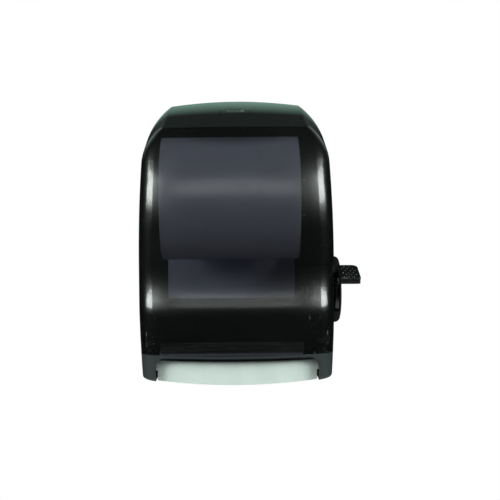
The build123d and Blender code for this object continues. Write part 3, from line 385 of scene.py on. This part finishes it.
# ---- Finger pad: domed grip and a bead round its upper edge ------------------------------------
PAD_DEPTH, PAD_HEIGHT = 175.0, 150.75  # middle of the pad
PAD_TOP = 4.6                          # above its middle plane
PAD_SLOPE = math.radians(16.7)
PAD_INNER, PAD_OUTER = 149.5, 177.0    # X
PAD_HALF = 26.0                        # half its length, front to rear
DOME_ROWS, DOME_COLUMNS = 6, 4
DOME_START = 152.8                     # X of the first column
DOME_PITCH, ROW_PITCH = 7.2, 8.2
DOME_RADIUS, DOME_RISE = 2.4, 1.2
DOME_SIDES = 12
DOME_RINGS = ((1.0, -0.3), (1.0, 0.0), (0.86, 0.5), (0.5, 0.87))  # shares of its radius and rise
DOME_EDGE = 2.8                        # domes keep this far from the outer edge
REAR_ROUND, REAR_EDGE = 16.0, 8.0      # and further behind there, where the corner is round
BEAD_RADIUS, BEAD_SIDES = 0.8, 8
BEAD_SINK = 0.3                        # its middle below the top face
BEAD_INSET = 0.5                       # its middle from the front and rear edges
BEAD_OUTER_INSET = 0.9                 # and from the outer edge
FRONT_CORNER, REAR_CORNER = 2.5, 8.5   # radii of its bends
BEND_STEPS = 6


def pad_point(x, back, above):
    """A point by X, distance behind the pad's middle and distance above its top face."""
    rise = PAD_TOP + above
    return place(x, PAD_DEPTH - back * math.cos(PAD_SLOPE) + rise * math.sin(PAD_SLOPE),
                 PAD_HEIGHT + back * math.sin(PAD_SLOPE) + rise * math.cos(PAD_SLOPE))


def dome(x, back):
    rings = [[pad_point(x + DOME_RADIUS * reach * cos, back + DOME_RADIUS * reach * sin,
                        DOME_RISE * rise) for cos, sin in circle(DOME_SIDES)]
             for reach, rise in DOME_RINGS]
    return tube(rings, pad_point(x, back, DOME_RISE))


def dome_places():
    """Staggered rows from front to rear, without those that would cross the pad's edge."""
    for row in range(DOME_ROWS):
        back = (row - (DOME_ROWS - 1) / 2) * ROW_PITCH
        edge = REAR_EDGE if back > REAR_ROUND else DOME_EDGE
        for column in range(DOME_COLUMNS):
            x = DOME_START + (column + row % 2 / 2) * DOME_PITCH
            if x <= PAD_OUTER - edge:
                yield x, back


def bead_line():
    """X and distance behind the pad's middle, from the inner front end round to the inner rear."""
    end = PAD_HALF - BEAD_INSET
    line = [(PAD_INNER, -end)]
    for radius, side_of_middle, first in ((FRONT_CORNER, -1, -90.0), (REAR_CORNER, 1, 0.0)):
        for step in range(BEND_STEPS + 1):
            turn = math.radians(first + 90.0 * step / BEND_STEPS)
            line.append((PAD_OUTER - BEAD_OUTER_INSET - radius + radius * math.cos(turn),
                         side_of_middle * (end - radius) + radius * math.sin(turn)))
    return line + [(PAD_INNER, end)]


def bead():
    line = bead_line()
    rings = []
    for k, (x, back) in enumerate(line):
        before, after = line[max(0, k - 1)], line[min(len(line) - 1, k + 1)]
        run = Vector((after[0] - before[0], after[1] - before[1])).normalized()
        rings.append([pad_point(x + run.y * BEAD_RADIUS * cos, back - run.x * BEAD_RADIUS * cos,
                                BEAD_RADIUS * sin - BEAD_SINK)
                      for cos, sin in circle(BEAD_SIDES)])
    return tube(rings)


tube_object("pad_domes", [dome(x, back) for x, back in dome_places()], pad_black, "lever",
            smooth=True)
tube_object("pad_bead", [bead()], pad_black, "lever", smooth=True)

# ---- Curved shield that closes the housing's slot behind the lever ---------------------------
SHIELD_INNER, SHIELD_OUTER = 43.6, 45.4  # radii about the lever's axis
SHIELD_NEAR, SHIELD_FAR = 146.5, 151.8  # X
SHIELD_LOW, SHIELD_HIGH = -80.0, 78.0   # degrees from the front
SHIELD_STEPS = 40
SHIELD_SECTION = ((SHIELD_NEAR, SHIELD_INNER), (SHIELD_FAR, SHIELD_INNER),
                  (SHIELD_FAR, SHIELD_OUTER), (SHIELD_NEAR, SHIELD_OUTER))


def shield():
    lever_axis = joint_places["lever_hinge"]
    rings = []
    for k in range(SHIELD_STEPS + 1):
        turn = math.radians(SHIELD_LOW + (SHIELD_HIGH - SHIELD_LOW) * k / SHIELD_STEPS)
        rings.append([(x * MM, lever_axis.y - radius * MM * math.cos(turn),
                       lever_axis.z + radius * MM * math.sin(turn))
                      for x, radius in SHIELD_SECTION])
    return tube(rings)


tube_object("lever_shield", [shield()], lever_black, "lever")

# ---- Dark strip of painted shade between the wall and the cover's rear edge --------------------
EDGE_REACH = 2.0                       # depth that still counts as the cover's rear edge
RIM_CENTRE = 200.0                     # height of the point that the rim is swept about
RIM_FRONT, RIM_REAR = 1.1, 0.2         # depths
RIM_INSET, RIM_WIDTH = 0.4, 7.0        # from the cover's outline to its outer and inner edge
RIM_SWEEP, RIM_STEPS = 140.0, 120      # degrees to each side of the top
RIM_SECTION = ((RIM_REAR, RIM_INSET), (RIM_REAR, RIM_WIDTH),
               (RIM_FRONT, RIM_WIDTH), (RIM_FRONT, RIM_INSET))


def cover_outline():
    """The cover's rear outline, as X and Z in metres."""
    points = [Vector((v.co.x, v.co.z)) for v in nodes["cover"].data.vertices
              if v.co.y > -EDGE_REACH * MM]
    return [points[k] for k in geometry.convex_hull_2d(points)]


def rim():
    outline = cover_outline()
    centre = Vector((0.0, (RIM_CENTRE - SCREW_CENTRE) * MM))
    rings = []
    for k in range(RIM_STEPS + 1):
        turn = math.radians(RIM_SWEEP * (2 * k / RIM_STEPS - 1))
        ray = Vector((math.sin(turn), math.cos(turn)))
        hits = (geometry.intersect_line_line_2d(centre, centre + ray, a, b)
                for a, b in zip(outline, outline[1:] + outline[:1]))
        reach = (next(hit for hit in hits if hit) - centre).length / MM
        rings.append([place((reach - inset) * ray.x, depth, RIM_CENTRE + (reach - inset) * ray.y)
                      for depth, inset in RIM_SECTION])
    return tube(rings)


# the dark strip of painted shade in the gap at the wall
tube_object("gap_shade_strip", [rim()], gap_shade, "root")

# ---- World: white to the camera, dim light on matt surfaces, and a band behind in reflections ------
# The pairs are parts of a direction of length 1: where a change starts and where it ends.
MATT_LIGHT = (0.12, 0.40)              # strength on matt surfaces, from below to above
MATT_TURN = (-0.3, 0.8)                # Z
MIRROR_LEAST = 0.006                   # strength in reflections outside the band
MIRROR_BAND = (0.02, 0.60)             # and added by it, at its middle and towards its ends
MIRROR_TINT = (0.80, 1.0, 0.92)
BAND_FRONT = (-0.05, 0.30)             # Y
BAND_FOOT, BAND_TOP = (0.22, 0.34), (0.50, 0.70)  # Z
BAND_RISE, BAND_END = (0.15, 0.60), (0.56, 0.72)  # X, to each side


def studio_world():
    world = bpy.data.worlds.new("studio")
    bpy.context.scene.world = world
    world.use_nodes = True
    w = Nodes(world.node_tree)
    direction = w.add("ShaderNodeTexCoord").outputs["Generated"]
    heading = w.add("ShaderNodeSeparateXYZ", {0: direction})
    x, y, z = (heading.outputs[axis] for axis in "XYZ")
    aside = w.math("ABSOLUTE", x)
    path = w.add("ShaderNodeLightPath")
    mirrored = w.math("ADD", path.outputs["Is Glossy Ray"],
                      path.outputs["Is Transmission Ray"], clamp=True)
    in_band = w.times(w.spread(y, 0.0, 1.0, *BAND_FRONT),
                      w.spread(z, 0.0, 1.0, *BAND_FOOT), w.spread(z, 1.0, 0.0, *BAND_TOP),
                      w.spread(aside, *MIRROR_BAND, *BAND_RISE),
                      w.spread(aside, 1.0, 0.0, *BAND_END))
    in_mirror = w.math("ADD", MIRROR_LEAST, in_band)
    on_matt = w.spread(z, *MATT_LIGHT, *MATT_TURN)
    strength = w.between(path.outputs["Is Camera Ray"], w.between(mirrored, on_matt, in_mirror), 1.0)
    colour = w.two_tone(mirrored, (1.0, 1.0, 1.0), MIRROR_TINT)
    background = w.add("ShaderNodeBackground", {"Color": colour, "Strength": strength})
    w.add("ShaderNodeOutputWorld", {"Surface": background.outputs[0]})


studio_world()

# ---- Lamps: one to each side and a wide one in front -------------------------------------------
LAMP_COLOUR = (0.93, 1.0, 0.96)
SIDE_LAMP, SIDE_TARGET = (1.41, -0.95, 0.53), (0.12, -0.20, 0.05)  # of the right one
SIDE_SIZE, SIDE_RADIANCE = (1.05, 0.62), 15.5
FRONT_LAMP, FRONT_TARGET = (0.0, -2.43, 0.90), (0.0, -0.20, 0.05)
FRONT_SIZE, FRONT_RADIANCE = (2.60, 0.50), 1.75


def mirrored_place(where):
    return (-where[0], where[1], where[2])


def softbox(name, where, target, size, radiance):
    """A rectangular lamp; radiance is what a mirror would show."""
    data = bpy.data.lights.new(name, "AREA")
    data.shape = "RECTANGLE"
    data.size, data.size_y = size
    data.energy = radiance * math.pi * size[0] * size[1]
    data.color = LAMP_COLOUR
    lamp = bpy.data.objects.new(name, data)
    lamp.location = where
    lamp.rotation_euler = (Vector(target) - Vector(where)).to_track_quat("-Z", "Y").to_euler()
    bpy.context.scene.collection.objects.link(lamp)


softbox("softbox_left", mirrored_place(SIDE_LAMP), mirrored_place(SIDE_TARGET),
        SIDE_SIZE, SIDE_RADIANCE)
softbox("softbox_right", SIDE_LAMP, SIDE_TARGET, SIDE_SIZE, SIDE_RADIANCE)
softbox("softbox_front", FRONT_LAMP, FRONT_TARGET, FRONT_SIZE, FRONT_RADIANCE)

# ---- Floor ---------------------------------------------------------------------------------
FLOOR_LEVEL = -0.52
FLOOR_HALF_WIDTH = 0.9
FLOOR_FRONT, FLOOR_REAR = -0.6, 0.12
FLOOR_COLOUR = (0.86, 0.86, 0.85)


def floor_surface(n, where):
    return {"Roughness": n.spread(n.noise(where, scale=6.0), 0.75, 0.85)}


floor_mesh = bpy.data.meshes.new("floor")
floor_mesh.from_pydata([(-FLOOR_HALF_WIDTH, FLOOR_FRONT, FLOOR_LEVEL),
                        (FLOOR_HALF_WIDTH, FLOOR_FRONT, FLOOR_LEVEL),
                        (FLOOR_HALF_WIDTH, FLOOR_REAR, FLOOR_LEVEL),
                        (-FLOOR_HALF_WIDTH, FLOOR_REAR, FLOOR_LEVEL)], [], [(0, 1, 2, 3)])
floor_mesh.materials.append(finish_material("floor_paint", floor_surface, FLOOR_COLOUR,
                                            Base_Color=(*FLOOR_COLOUR, 1.0)))
floor = bpy.data.objects.new("floor", floor_mesh)
bpy.context.scene.collection.objects.link(floor)
